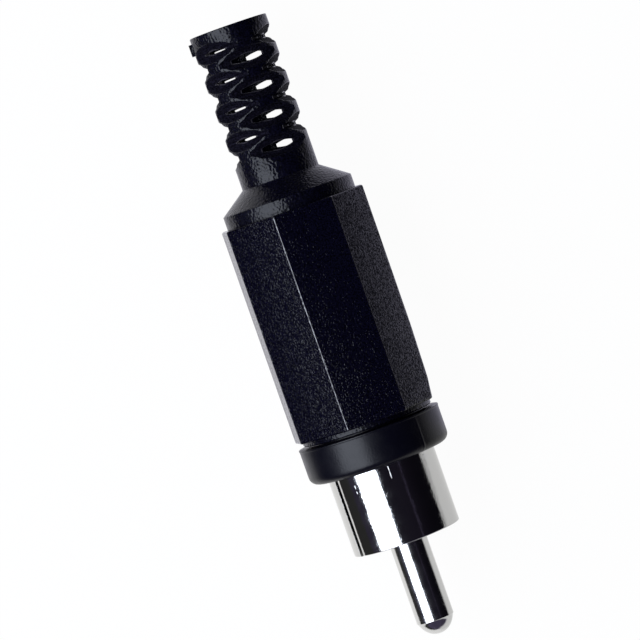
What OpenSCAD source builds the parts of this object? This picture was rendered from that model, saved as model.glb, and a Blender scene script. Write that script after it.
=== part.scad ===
// Phono plug (RCA type) for a screened audio cable, with a screw-on moulded handle.
// X runs along the plug's axis, towards the tip of the centre pin. The origin is on that axis,
// in the plane of the collar's front face. The plug lies on its side, with Z up.
// Turns about the axis are measured from +Z towards +Y, in degrees.

$fn = 96;

/* [Handle] */
// Width of the octagonal grip across its flats
grip_af = 12.2; // [11.8:0.1:14]
// Length of the octagonal grip
grip_len = 18.5; // [16:0.5:30]
// Width of the narrow land along each long edge of the grip
grip_edge = 0.2; // [0.1:0.05:0.6]
// How far the two edges where the mould parts, which are trimmed flat, stand out beyond the flats
parting_proud = 0.03; // [0.02:0.01:0.2]
// Turn of those two trimmed edges about the axis
parting_turn = 82; // [60:0.5:90]
// Diameter of the round lip in front of the grip and of the round band behind it
lip_d = 11.15; // [10.8:0.05:11.4]
// Length of the round lip
lip_len = 0.45; // [0.2:0.05:1.5]
// Wall of the handle at its lip
lip_wall = 0.575; // [0.4:0.025:0.7]
// Open gap between the lip and the collar
lip_gap = 0.2; // [0.1:0.05:0.6]
// Length of the round band
band_len = 1.12; // [0.5:0.01:3]
// Length of the cone that leads from the band to the neck
cone_len = 1.6; // [1:0.1:4]
// Shift of the cone's inner face from its outer face, along the axis
cone_wall = 0.9; // [0.6:0.1:1.5]
// Diameter of the room for the solder joints
room_d = 8.6; // [8.2:0.1:9.4]

/* [Strain relief] */
// Diameter of the neck and of the strain relief
neck_d = 6.65; // [6.2:0.05:8]
// Length of the plain neck, up to the middle of the first row of slots
neck_len = 2.6; // [2.2:0.1:5]
// Bore of the strain relief
cable_d = 5.2; // [4.6:0.1:5.4]
// Rows of slots
slot_rows = 8; // [4:2:12]
// Distance from one row of slots to the next
slot_pitch = 1.27; // [1.2:0.01:1.6]
// Slots around each row
slots_per_row = 3; // [2:1:3]
// How far the slots of the first row, and every other row after it, break into the bore
slot_break_deep = 0.42; // [0.3:0.01:0.6]
// Width of those slots at their floor
slot_floor_deep = 0.26; // [0.2:0.02:0.5]
// Width of those slots where they meet the bore
slot_waist_deep = 0.6; // [0.5:0.02:0.8]
// Width of those slots where their flanks bend
slot_bend_deep = 1.26; // [0.8:0.02:1.4]
// Width of those slots at their mouth
slot_mouth_deep = 1.78; // [1.4:0.02:1.8]
// How far the slots of the rows between break into the bore
slot_break_shallow = 0.25; // [0.15:0.01:0.6]
// Width of the slots in the rows between at their floor
slot_floor_shallow = 0.1; // [0.06:0.02:0.2]
// Width of the slots in the rows between where they meet the bore
slot_waist_shallow = 0.22; // [0.2:0.02:0.5]
// Width of the slots in the rows between where their flanks bend
slot_bend_shallow = 0.92; // [0.5:0.02:1]
// Width of the slots in the rows between at their mouth
slot_mouth_shallow = 1.7; // [1:0.02:1.72]
// Where the flanks of all the slots bend, as a share of the wall from the bore outwards
slot_bend_share = 0.3; // [0.2:0.05:0.6]
// Turn of the first row of slots about the axis
slot_turn = 8.5; // [0:0.5:60]
// Length from the middle of the last row of slots to the rear end
end_len = 1.7; // [1.6:0.05:4]
// Length of the moulding gate's stub on the rear end
gate_len = 1; // [0.4:0.1:1.2]
// Width of the gate's stub
gate_w = 0.6; // [0.3:0.1:1.2]
// Height of the gate's stub above the rear end
gate_proud = 0.25; // [0.1:0.05:0.5]
// Distance of the gate's stub from the rear face
gate_inset = 0.45; // [0.2:0.05:0.5]
// Turn of the gate's stub about the axis
gate_turn = -98; // [-180:1:180]

/* [Collar body] */
// Diameter of the collar
collar_d = 12.12; // [11.6:0.02:14]
// Length of the collar
collar_len = 3.1; // [2.5:0.05:5]
// Radius of the collar's front edge
collar_round = 0.7; // [0.3:0.05:1.2]
// Height of the fine rim around the collar's rear edge
rim_proud = 0.03; // [0.02:0.01:0.2]
// Length of that rim
rim_len = 0.12; // [0.05:0.01:0.3]
// Thickness of the collar behind the shell's seat
seat_floor = 0.55; // [0.4:0.05:1]
// Length of the threaded spigot that goes into the handle
spigot_len = 5.5; // [4:0.1:7]
// Radial clearance between the spigot's shoulder and the handle's bore
spigot_clearance = 0.06; // [0.03:0.01:0.09]
// Depth of the spigot's thread, which is left as its core
thread_depth = 0.3; // [0.2:0.05:0.45]
// Length of the plain shoulder between the collar and the thread
shoulder_len = 0.9; // [0.5:0.1:1.5]
// Thickness of the web that holds the pin, behind the shell's seat
web_len = 2.8; // [2:0.1:3.5]
// Diameter of the boss around the pin
boss_d = 5.4; // [4.6:0.1:5.6]
// Depth of the boss's front face behind the collar's front face
boss_inset = 0.5; // [0.2:0.05:1]
// Wall of the spigot around the solder room
spigot_wall = 0.7; // [0.5:0.05:0.9]
// Gap on each side of a piece that is pressed into the collar body
press_gap = 0.02; // [0.01:0.01:0.05]

/* [Ground shell] */
// Outer diameter of the shell
shell_d = 9.2; // [8.8:0.05:10]
// Thickness of the shell's sheet
shell_wall = 0.45; // [0.3:0.05:0.6]
// Length of the shell in front of the collar
shell_len = 6.7; // [5:0.05:9]
// Width of the slit where the rolled sheet's edges meet
slit_w = 0.2; // [0.1:0.05:0.8]
// Turn of the slit about the axis
slit_turn = -69.5; // [-180:0.5:180]

/* [Centre pin] */
// Diameter of the pin
pin_d = 3.2; // [3:0.05:3.4]
// Distance from the collar's front face to the pin's tip
pin_reach = 15.05; // [12:0.05:18]
// Length of the pin's domed nose
nose_len = 1.3; // [0.8:0.05:1.5]
// Diameter of the shank and of the solder cup
shank_d = 2.6; // [2.2:0.1:2.8]
// Length of the solder cup behind the web
cup_len = 4.6; // [3:0.1:6]
// Length of the cup that is cut open at the top
cup_open_len = 2.6; // [1.5:0.1:3]
// Hole in the solder cup
cup_hole_d = 1.6; // [1.2:0.1:1.8]
// Depth of that hole
cup_hole_len = 3.6; // [2:0.1:4.5]

/* [Ground clamp] */
// Thickness of the clamp's sheet
clamp_thick = 0.4; // [0.3:0.05:0.6]
// Width of the tail
tail_w = 2.4; // [1.8:0.1:3]
// Length of the clamp behind the seat's floor
tail_len = 16.6; // [14:0.1:17.5]
// Length of the crimp ears
ear_len = 3.5; // [2.5:0.1:5]
// Play of a cable that just fits the strain relief, between the ears
cable_play = 0.3; // [0.2:0.05:0.6]
// Gap between the corners of the ears and the wall of the solder room
ear_gap = 0.4; // [0.3:0.05:0.6]
// Solder hole in the tail
tail_hole_d = 1.2; // [0.8:0.1:1.6]
// Distance from that hole to the front end of the ears
tail_hole_from_ears = 1.5; // [1.2:0.1:3]

/* [Hidden] */
// Reach of a cut beyond the face that it opens
over = 1;
black_handle = "#1a1a1c";
black_collar = "#222225";
nickel = "#c9c6c0";

// Places along the axis, from the collar to the rear end
collar_rear = -collar_len;
seat_x = collar_rear + seat_floor;
boss_front = -boss_inset;
web_rear = seat_x - web_len;
shoulder_rear = collar_rear - shoulder_len;
spigot_rear = collar_rear - spigot_len;
lip_front = collar_rear - lip_gap;
grip_front = lip_front - lip_len;
grip_rear = grip_front - grip_len;
band_rear = grip_rear - band_len;
neck_front = band_rear - cone_len;
first_row = neck_front - neck_len;
last_row = first_row - (slot_rows - 1) * slot_pitch;
rear_end = last_row - end_len;

// Inside of the handle
bore_d = lip_d - 2 * lip_wall;
// Room left behind the spigot when the handle is home
bore_spare = 0.5;
bore_rear = spigot_rear - bore_spare;
room_rear = band_rear + cone_wall;
cable_bore_front = neck_front + cone_wall;

// Grip: half of the angle that a land takes, and the diameter that the lands lie on
corner_angle = 180 / 8;
land_angle = asin(grip_edge * cos(corner_angle) / grip_af);
land_d = grip_af / cos(corner_angle - land_angle);
parting_r = grip_af / 2 + parting_proud;

// Collar body
seat_d = shell_d + 2 * press_gap;
shoulder_d = bore_d - 2 * spigot_clearance;
thread_core_d = shoulder_d - 2 * thread_depth;
solder_room_d = thread_core_d - 2 * spigot_wall;

// Ground clamp
clamp_front = seat_x + clamp_thick;
clamp_rear = seat_x - tail_len;
ear_front = clamp_rear + ear_len;
ear_in = cable_d / 2 + cable_play;
ear_out = ear_in + clamp_thick;
ear_top = sqrt(pow(room_d / 2 - ear_gap, 2) - pow(ear_out, 2));

// Shell: its rear edge stands on the clamp's ring
shell_in_d = shell_d - 2 * shell_wall;

// Pin: radius of the ball whose front is the nose, which meets the pin at a crease
cup_rear = web_rear - cup_len;
nose_r = (nose_len * nose_len + pin_d * pin_d / 4) / (2 * nose_len);

// A round bar along X from x0 to x1, with a diameter for each end
module bar(x0, x1, d0, d1) {
    translate([x0, 0, 0])
        rotate([0, 90, 0])
            cylinder(h = x1 - x0, d1 = d0, d2 = d1);
}

// A round hole or bar of one diameter
module rod(x0, x1, d) {
    bar(x0, x1, d, d);
}

// A box along X that is centred on the plane Y = 0
module block(x0, x1, w, z0, z1) {
    translate([x0, -w / 2, z0])
        cube([x1 - x0, w, z1 - z0]);
}

// The octagonal grip, with a flat on top and below, a land on each edge and two trimmed edges
module grip() {
    intersection() {
        translate([grip_rear, 0, 0])
            rotate([0, 90, 0])
                rotate([0, 0, corner_angle])
                    cylinder(h = grip_len, d = grip_af / cos(corner_angle), $fn = 8);
        rod(grip_rear - over, grip_front + over, land_d);
        rotate([-parting_turn, 0, 0])
            block(grip_rear - over, grip_front + over, 2 * land_d, -parting_r, parting_r);
    }
}

// One slot: a straight groove across the tube, which breaks into its bore and flares outside of it
module slot(break_in, floor_w, waist_w, bend_w, mouth_w) {
    bore_r = cable_d / 2;
    neck_r = neck_d / 2;
    floor_r = bore_r - break_in;
    bend_r = bore_r + slot_bend_share * (neck_r - bore_r);
    out_r = neck_r + over;
    out_w = mouth_w + over * (mouth_w - bend_w) / (neck_r - bend_r);
    rotate([90, 0, 0])
        linear_extrude(height = neck_d, center = true)
            polygon([
                [-floor_w / 2, floor_r],
                [floor_w / 2, floor_r],
                [waist_w / 2, bore_r],
                [bend_w / 2, bend_r],
                [out_w / 2, out_r],
                [-out_w / 2, out_r],
                [-bend_w / 2, bend_r],
                [-waist_w / 2, bore_r]
            ]);
}

// All the slots: every other row is turned by half a step
module relief_slots() {
    step = 360 / slots_per_row;
    for (row = [0 : slot_rows - 1], side = [0 : slots_per_row - 1]) {
        deep = row % 2 == 0;
        turn = slot_turn + step * (side + (deep ? 0 : 0.5));
        translate([first_row - row * slot_pitch, 0, 0])
            rotate([-turn, 0, 0])
                slot(
                    deep ? slot_break_deep : slot_break_shallow,
                    deep ? slot_floor_deep : slot_floor_shallow,
                    deep ? slot_waist_deep : slot_waist_shallow,
                    deep ? slot_bend_deep : slot_bend_shallow,
                    deep ? slot_mouth_deep : slot_mouth_shallow
                );
    }
}

// What the moulding gate left on the rear end
module gate_stub() {
    rotate([-gate_turn, 0, 0])
        block(
            rear_end + gate_inset,
            rear_end + gate_inset + gate_len,
            gate_w,
            (cable_d + neck_d) / 4,
            neck_d / 2 + gate_proud
        );
}

// Moulded in one piece: lip, grip, band, cone, neck and strain relief
module handle() {
    color(black_handle)
        difference() {
            union() {
                rod(grip_front - over, lip_front, lip_d);
                grip();
                rod(band_rear, grip_rear + over, lip_d);
                bar(neck_front, band_rear, neck_d, lip_d);
                rod(rear_end, neck_front, neck_d);
                gate_stub();
            }
            rod(bore_rear, lip_front + over, bore_d);
            rod(room_rear, bore_rear + over, room_d);
            bar(cable_bore_front, room_rear, cable_d, room_d);
            rod(rear_end - over, cable_bore_front, cable_d);
            relief_slots();
        }
}

// The collar's disc, with its rounded front edge and the fine rim behind
module collar_disc() {
    flat_r = collar_d / 2 - collar_round;
    rotate([0, 90, 0])
        rotate_extrude() {
            translate([0, collar_rear])
                square([collar_d / 2, collar_len - collar_round]);
            translate([0, collar_rear])
                square([flat_r, collar_len]);
            translate([flat_r, -collar_round])
                circle(r = collar_round);
        }
    rod(collar_rear, collar_rear + rim_len, collar_d + 2 * rim_proud);
}

// Moulded in one piece: collar, threaded spigot, and the web and boss that hold the pin
module collar_body() {
    color(black_collar)
        difference() {
            union() {
                difference() {
                    collar_disc();
                    rod(seat_x, over, seat_d);
                }
                rod(shoulder_rear, collar_rear, shoulder_d);
                rod(spigot_rear, shoulder_rear, thread_core_d);
                rod(seat_x - seat_floor / 2, boss_front, boss_d);
            }
            rod(spigot_rear - over, web_rear, solder_room_d);
            rod(web_rear - over, over, shank_d + 2 * press_gap);
            block(
                spigot_rear - over,
                seat_x + over,
                tail_w + 2 * press_gap,
                -ear_out - press_gap,
                -ear_in + press_gap
            );
        }
}

// Rolled from sheet, with its seam left open as a slit
module ground_shell() {
    color(nickel)
        difference() {
            rod(clamp_front, shell_len, shell_d);
            rod(clamp_front - over, shell_len + over, shell_in_d);
            rotate([-slit_turn, 0, 0])
                block(clamp_front - over, shell_len + over, slit_w, shell_in_d / 4, shell_d);
        }
}

// The pin's nose: the front of a ball
module pin_nose() {
    rotate([0, 90, 0])
        rotate_extrude()
            intersection() {
                translate([0, pin_reach - nose_r])
                    circle(r = nose_r);
                translate([0, pin_reach - nose_len])
                    square([pin_d, nose_len + over]);
            }
}

// Turned from bar: nose, contact length, shank and solder cup
module centre_pin() {
    color(nickel)
        difference() {
            union() {
                pin_nose();
                rod(boss_front, pin_reach - nose_len, pin_d);
                rod(cup_rear, boss_front, shank_d);
            }
            rod(cup_rear - over, cup_rear + cup_hole_len, cup_hole_d);
            block(cup_rear - over, cup_rear + cup_open_len, shank_d + over, 0, shank_d);
        }
}

// The crimp ears, open as they are before a cable is fitted
module crimp_ears() {
    difference() {
        union() {
            rod(clamp_rear, ear_front, 2 * ear_out);
            block(clamp_rear, ear_front, 2 * ear_out, 0, ear_top);
        }
        rod(clamp_rear - over, ear_front + over, 2 * ear_in);
        block(clamp_rear - over, ear_front + over, 2 * ear_in, 0, ear_out + over);
    }
}

// Stamped from sheet: a ring behind the shell, a tail with a solder hole, and crimp ears
module ground_clamp() {
    color(nickel) {
        difference() {
            union() {
                rod(seat_x, clamp_front, shell_d);
                block(ear_front - over, clamp_front, tail_w, -ear_out, -ear_in);
            }
            rod(seat_x - over, clamp_front + over, boss_d + 2 * press_gap);
            translate([ear_front + tail_hole_from_ears, 0, -ear_out - over])
                cylinder(h = clamp_thick + 2 * over, d = tail_hole_d);
        }
        crimp_ears();
    }
}

handle();
collar_body();
ground_shell();
centre_pin();
ground_clamp();
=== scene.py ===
"""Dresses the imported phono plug: moulded handle, collar body, bright contacts and a stage."""

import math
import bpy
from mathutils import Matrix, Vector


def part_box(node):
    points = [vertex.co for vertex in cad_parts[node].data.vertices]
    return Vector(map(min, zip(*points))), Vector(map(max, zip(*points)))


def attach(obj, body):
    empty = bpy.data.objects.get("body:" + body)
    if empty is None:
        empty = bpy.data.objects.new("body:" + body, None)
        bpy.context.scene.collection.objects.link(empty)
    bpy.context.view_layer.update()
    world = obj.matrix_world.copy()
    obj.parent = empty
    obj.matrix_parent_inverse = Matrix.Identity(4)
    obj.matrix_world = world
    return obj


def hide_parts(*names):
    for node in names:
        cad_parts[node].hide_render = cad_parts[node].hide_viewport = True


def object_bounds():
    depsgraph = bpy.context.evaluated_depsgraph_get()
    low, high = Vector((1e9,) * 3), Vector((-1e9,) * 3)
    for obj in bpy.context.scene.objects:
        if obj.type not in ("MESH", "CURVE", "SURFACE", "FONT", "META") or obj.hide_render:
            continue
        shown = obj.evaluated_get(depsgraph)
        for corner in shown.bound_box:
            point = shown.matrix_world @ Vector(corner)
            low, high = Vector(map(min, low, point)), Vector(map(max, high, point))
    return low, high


bl_info = {
    "name": "Phono Plug Looks",
    "version": (1, 0, 0),
    "blender": (4, 5, 0),
    "location": "View3D > Sidebar > Plug",
    "description": "Builds the visible pieces of a phono plug around its packed solids",
    "category": "Object",
}

import bmesh
import bpy
from mathutils import Matrix, Vector

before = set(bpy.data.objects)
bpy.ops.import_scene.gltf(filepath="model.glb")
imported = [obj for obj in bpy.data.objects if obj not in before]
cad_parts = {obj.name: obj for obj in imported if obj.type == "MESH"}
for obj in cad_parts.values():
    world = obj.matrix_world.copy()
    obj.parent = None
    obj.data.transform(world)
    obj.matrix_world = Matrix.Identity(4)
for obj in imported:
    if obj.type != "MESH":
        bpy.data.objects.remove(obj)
CAD_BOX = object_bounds()

MM = 0.001
OCTANT = math.radians(45)
HANDLE_LOW, HANDLE_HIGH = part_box("handle")
COLLAR_LOW, COLLAR_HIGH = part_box("collar_body")
SHELL_LOW, SHELL_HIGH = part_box("ground_shell")
PIN_LOW, PIN_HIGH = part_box("centre_pin")
FLOOR_Z = CAD_BOX[0].z


# Properties


def length(label, text, value):
    """A length in metres that the user can change."""
    return bpy.props.FloatProperty(
        name=label, description=text, default=value, unit="LENGTH", precision=5
    )


def turn(label, text, degrees):
    """An angle that the user can change."""
    return bpy.props.FloatProperty(
        name=label, description=text, default=math.radians(degrees), subtype="ANGLE"
    )


def share(label, text, value):
    """A number from nought to one that the user can change."""
    return bpy.props.FloatProperty(name=label, description=text, default=value, min=0.0, max=1.0)


def tint(label, text, value):
    """A colour that the user can change."""
    return bpy.props.FloatVectorProperty(
        name=label,
        description=text,
        default=value,
        size=3,
        subtype="COLOR",
        min=0.0,
        max=1.0,
    )


class HandleSettings(bpy.types.PropertyGroup):
    """Sizes and finish of the moulded handle."""

    flat_reach: length("Flat", "From the axis to a flat of the grip", HANDLE_HIGH.z)
    lip_radius: length("Lip", "Radius of the lip and of the band", 5.575 * MM)
    lip_length: length("Lip length", "Length of the lip in front of the grip", 0.45 * MM)
    grip_length: length("Grip length", "Length of the octagonal grip", 18.5 * MM)
    band_length: length("Band length", "Length of the round band", 1.12 * MM)
    cone_length: length("Cone length", "Length of the cone behind the band", 1.6 * MM)
    neck_radius: length("Neck", "Radius of the neck and the strain relief", 3.325 * MM)
    cable_radius: length("Cable bore", "Radius of the bore for the cable", 2.6 * MM)
    bore_radius: length("Bore", "Radius of the bore that screws on", 5 * MM)
    room_radius: length("Room", "Radius of the room for the solder joints", 4.3 * MM)
    edge_round: length("Edge", "Rounding of the grip's long edges", 0.11 * MM)
    rim_round: length("Slot rims", "Rounding of the slots' outer rims", 0.025 * MM)
    colour: tint("Colour", "Colour of the black plastic", (0.0013, 0.0012, 0.0042))
    # Many times this colour is also the painted highlight along the bore's rim in the slots
    wall_and_highlight_colour: tint("Slots", "Paler colour on the slots' dull walls", (0.0028, 0.0025, 0.0028))
    shine: share("Shine", "Specular level of the plastic", 0.2)
    grain_size: length("Grain", "Size of the spark-eroded grain", 0.15 * MM)
    pit_depth: length("Pits", "Depth of the steeper pits in the grain", 0.0085 * MM)
    grain_depth: length("Grain depth", "Depth of that grain", 0.0095 * MM)
    mottle_size: length("Mottle", "Size of the relief on the smooth parts", 0.2 * MM)
    mottle_depth: length("Mottle depth", "Depth of that relief", 0.046 * MM)


class CollarSettings(bpy.types.PropertyGroup):
    """Sizes and finish of the collar body."""

    radius: length("Collar", "Radius of the collar", 6.06 * MM)
    rim_radius: length("Rim", "Radius of the fine rim behind", COLLAR_HIGH.z)
    span: length("Length", "Length of the collar", 3.1 * MM)
    front_round: length("Front edge", "Rounding of the front edge", 0.7 * MM)
    core_radius: length("Thread core", "Radius of the core of the thread", 4.64 * MM)
    crest_radius: length("Thread crest", "Radius of the crest of the thread", 4.92 * MM)
    thread_pitch: length("Thread pitch", "Pitch of the thread", 0.75 * MM)
    seam_turn: turn("Mould seam", "Turn of the mould seam about the axis", 31.5)
    seam_height: length("Seam height", "Height of the mould seam", 0.018 * MM)
    colour: tint("Colour", "Colour of the black plastic", (0.0013, 0.0012, 0.004))
    shine: share("Shine", "Specular level of the plastic", 0.24)
    gloss: share("Roughness", "Roughness of the satin finish", 0.31)


class ContactSettings(bpy.types.PropertyGroup):
    """Sizes and finish of the shell, the pin and the clamp."""

    shell_wall: length("Shell wall", "Thickness of the rolled sheet", 0.45 * MM)
    slit_width: length("Slit", "Width of the open seam", 0.2 * MM)
    slit_turn: turn("Slit turn", "Turn of the open seam about the axis", -69.5)
    mouth_round: length("Mouth edge", "Rounding of the sheet at the mouth", 0.1 * MM)
    curl_width: length("Curl", "Width of the sheet that curls in at the open seam", 0.6 * MM)
    curl_depth: length("Curl depth", "How far the sheet curls in there", 0.1 * MM)
    mouth_slant: length("Slant", "How far the mouth leans to one side", 0.045 * MM)
    nose_length: length("Nose", "Length of the pin's nose", 1.3 * MM)
    shell_colour: tint("Shell", "Colour of the shell's nickel", (0.575, 0.573, 0.565))
    pin_colour: tint("Pin", "Colour of the pin's nickel", (0.64, 0.638, 0.63))
    clamp_colour: tint("Clamp", "Colour of the clamp's nickel", (0.68, 0.66, 0.63))
    gloss: share("Roughness", "Roughness of the bright nickel", 0.07)
    clamp_gloss: share("Clamp roughness", "Roughness of the clamp's nickel", 0.2)


class StageSettings(bpy.types.PropertyGroup):
    """Camera, light and floor."""

    side_turn: turn("Side", "Turn of the camera about the plug's axis", 8)
    tip: turn("Tip", "Tilt of the camera towards the cable's end", 2.5)
    roll: turn("Roll", "Turn of the picture", 19.35)
    distance: length("Distance", "From the plug to the camera", 0.344)
    aim: length("Aim", "Where the camera looks at, along the axis", -12.78 * MM)
    aim_side: length("Aim aside", "How far beside the axis it looks", -0.83 * MM)
    lens: bpy.props.FloatProperty(
        name="Lens", description="Focal length in millimetres", default=234.0
    )
    softbox_power: bpy.props.FloatProperty(
        name="Softbox", description="Power of the softbox", default=2.94, subtype="POWER"
    )
    backdrop: share("Backdrop", "Brightness of floor and backdrop", 1.0)


# Mesh making


def axis_point(x, radius, angle):
    """A point beside the plug's axis; the angle is measured from +Z towards +Y."""
    return Vector((x, radius * math.sin(angle), radius * math.cos(angle)))


def even_angles(count):
    """So many angles all around."""
    return [2 * math.pi * i / count for i in range(count)]


def spread(low, high, count):
    """Even steps from low to high, both ends included."""
    return [low + (high - low) * i / (count - 1) for i in range(count)]


def eased(points, steps=5):
    """A path of (x, radius, rounding): each corner becomes an arc of that rounding."""
    path = []
    for i, (x, r, rounding) in enumerate(points):
        here = Vector((x, r))
        if rounding <= 0 or i in (0, len(points) - 1):
            path.append((x, r))
            continue
        before = (Vector(points[i - 1][:2]) - here).normalized()
        after = (Vector(points[i + 1][:2]) - here).normalized()
        half = before.angle(after) / 2
        reach = rounding / math.tan(half)
        middle = here + (before + after).normalized() * rounding / math.sin(half)
        first = here + before * reach - middle
        sweep = math.pi - 2 * half
        if before.x * after.y - before.y * after.x > 0:
            sweep = -sweep
        for a in spread(0.0, sweep, steps + 1):
            path.append(
                (
                    middle.x + first.x * math.cos(a) - first.y * math.sin(a),
                    middle.y + first.x * math.sin(a) + first.y * math.cos(a),
                )
            )
    return path


def turned_rings(path, angles):
    """Rings of points around the plug's axis, for a path of (x, radius)."""
    return [[axis_point(x, r, a) for a in angles] for x, r in path]


def joined_rings(bm, rings, closed=True):
    """Skins a row of closed rings of points with quads; closed joins the last to the first."""
    made = [[bm.verts.new(p) for p in ring] for ring in rings]
    for one, two in zip(made, made[1:] + made[:1] if closed else made[1:]):
        for i in range(len(one)):
            j = (i + 1) % len(one)
            bm.faces.new((one[i], one[j], two[j], two[i]))
    return made


def capped_rings(bm, rings):
    """Skins a row of rings and closes its two ends."""
    made = joined_rings(bm, rings, closed=False)
    bm.faces.new(made[0])
    bm.faces.new(made[-1])


def closed_fan(bm, ring, point):
    """Closes a ring with triangles to one point."""
    tip = bm.verts.new(point)
    for i in range(len(ring)):
        bm.faces.new((ring[i], ring[(i + 1) % len(ring)], tip))


def sharp_edges(bm, degrees):
    """The edges where two faces meet at more than that angle."""
    limit = math.radians(degrees)
    return [e for e in bm.edges if len(e.link_faces) == 2 and e.calc_face_angle(0) > limit]


def round_edges(bm, edges, rounding):
    """Rounds those edges."""
    bmesh.ops.bevel(
        bm,
        geom=edges,
        offset=rounding,
        segments=2,
        profile=0.5,
        affect="EDGES",
        clamp_overlap=True,
    )


def new_piece(name, bm):
    """An object of that name in the scene, from a finished bmesh."""
    bmesh.ops.recalc_face_normals(bm, faces=bm.faces)
    mesh = bpy.data.meshes.new(name)
    bm.to_mesh(mesh)
    bm.free()
    piece = bpy.data.objects.new(name, mesh)
    bpy.context.scene.collection.objects.link(piece)
    return piece


def block_piece(name, low, high, turned=0.0):
    """A block between two corners, turned about the plug's axis."""
    bm = bmesh.new()
    made = bmesh.ops.create_cube(bm, size=1.0)["verts"]
    size = Vector(high) - Vector(low)
    middle = (Vector(high) + Vector(low)) / 2
    place = (
        Matrix.Rotation(-turned, 4, "X")
        @ Matrix.Translation(middle)
        @ Matrix.Diagonal((*size, 1.0))
    )
    bmesh.ops.transform(bm, matrix=place, verts=made)
    return new_piece(name, bm)


def combine(piece, tool, operation):
    """Cuts a tool out of a piece, or joins it to the piece, and removes the tool."""
    change = piece.modifiers.new(operation, "BOOLEAN")
    change.operation = operation
    change.solver = "EXACT"
    change.object = tool
    graph = bpy.context.evaluated_depsgraph_get()
    made = bpy.data.meshes.new_from_object(piece.evaluated_get(graph))
    piece.modifiers.clear()
    old, name = piece.data, piece.data.name
    piece.data = made
    bpy.data.meshes.remove(old)
    made.name = name
    bpy.data.objects.remove(tool)


def shade(piece, sharp=35.0):
    """Smooth shading that stays crisp at sharp edges and flat on flat faces."""
    piece.data.shade_smooth()
    piece.data.set_sharp_from_angle(angle=math.radians(sharp))
    weighted = piece.modifiers.new("even_normals", "WEIGHTED_NORMAL")
    weighted.keep_sharp = True


def finish_piece(piece, material, node, body):
    """Gives a piece its material and says which solid it stands for."""
    piece.data.materials.clear()
    piece.data.materials.append(material)
    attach(piece, body)
    if node:
        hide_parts(node)


# Nodes


def cleared_tree(owner):
    """The node tree of a material or a world, with nothing in it yet."""
    owner.use_nodes = True
    owner.node_tree.nodes.clear()
    return owner.node_tree


def add_node(tree, kind, values, **settings):
    """A node with its settings; its sockets, by name or place, get links or plain numbers."""
    node = tree.nodes.new(kind)
    for name, value in settings.items():
        setattr(node, name, value)
    for place, value in values.items():
        if isinstance(value, bpy.types.NodeSocket):
            tree.links.new(value, node.inputs[place])
        else:
            node.inputs[place].default_value = value
    return node


def math_node(tree, operation, *operands):
    """A math node; each operand is a socket or a number."""
    values = dict(enumerate(operands))
    return add_node(tree, "ShaderNodeMath", values, operation=operation).outputs[0]


def scaled(tree, value, factor):
    """A value times a number or another value."""
    return math_node(tree, "MULTIPLY", value, factor)


def added(tree, first, second):
    """A value plus a number or another value."""
    return math_node(tree, "ADD", first, second)


def rest_of(tree, value):
    """What is left of one after taking a value away."""
    return math_node(tree, "SUBTRACT", 1.0, value)


def vector_node(tree, operation, first, second):
    """A vector math node; each operand is a socket or numbers."""
    values = {0: first, "Scale" if operation == "SCALE" else 1: second}
    return add_node(tree, "ShaderNodeVectorMath", values, operation=operation).outputs[0]


def ramp_node(tree, value, low, high, to_low=0.0, to_high=1.0):
    """Maps a value from one range to another with soft ends."""
    values = {
        "Value": value,
        "From Min": low,
        "From Max": high,
        "To Min": to_low,
        "To Max": to_high,
    }
    node = add_node(tree, "ShaderNodeMapRange", values, interpolation_type="SMOOTHSTEP")
    return node.outputs["Result"]


def within(tree, value, low, high, soft):
    """One between low and high, with soft ends, and nought outside."""
    rise = ramp_node(tree, value, low - soft, low + soft)
    fall = ramp_node(tree, value, high - soft, high + soft, 1.0, 0.0)
    return scaled(tree, rise, fall)


def place_of(tree, kind="Object"):
    """The point in the plug's frame, or the direction in a world, and its three coordinates."""
    point = tree.nodes.new("ShaderNodeTexCoord").outputs[kind]
    return point, add_node(tree, "ShaderNodeSeparateXYZ", {0: point}).outputs


def turn_of(tree, axes):
    """The turn of the point about the plug's axis, from +Z towards +Y."""
    return math_node(tree, "ARCTAN2", axes["Y"], axes["Z"])


def noise(tree, point, size, detail):
    """A noise whose spots are about that size."""
    values = {"Vector": point, "Scale": 1.0 / size, "Detail": detail}
    return add_node(tree, "ShaderNodeTexNoise", values).outputs["Fac"]


def marks(tree, point, size, detail, *ranges):
    """Marks of about that size: a noise mapped from one range to another."""
    return ramp_node(tree, noise(tree, point, size, detail), *ranges)


def bump(tree, height, depth):
    """Relief of that depth."""
    values = {"Height": height, "Strength": 1.0, "Distance": depth}
    return add_node(tree, "ShaderNodeBump", values).outputs["Normal"]


# Materials

# Noise marks: size, detail, the noise's range and, where it isn't nought to one, what it becomes
HUMP_RANGE = (0.47, 0.73)
PIT_RANGE = (0.55, 0.7)
HANDLE_PATCHES = (0.9 * MM, 2.0, 0.3, 0.7, 0.22, 0.28)
WEAR_MARKS = (0.3 * MM, 1.0, 0.35, 0.65, 0.5, 1.3)
POLISH_MARKS = (0.13 * MM, 0.0, 0.35, 0.68, 0.2, 1.9)
SPECKLE_MARKS = (0.12 * MM, 1.0, 0.35, 0.65, 0.3, 1.9)
SCRATCH_BREAKS = (0.3 * MM, 2.0, 0.4, 0.5)
# Where a second pattern of the same noise is taken from
SECOND_PATTERN = (0.07, 0.13, 0.19)
# How far a mask on the grip fades, along the axis and about it
GRIP_FADE = 0.03 * MM
FLAT_FADE = math.radians(0.5)
# From an edge of the grip to where its worn land ends and the full grain begins, and its grain
LAND = (math.radians(0.45), math.radians(0.9), 0.1, 1.0)
# The two flats at the sides, by their turn either way, and how much of their grain is missing
SIDE_FLATS = (1.5 * OCTANT, 2.5 * OCTANT)
SIDE_SMOOTHNESS = 0.7
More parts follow.
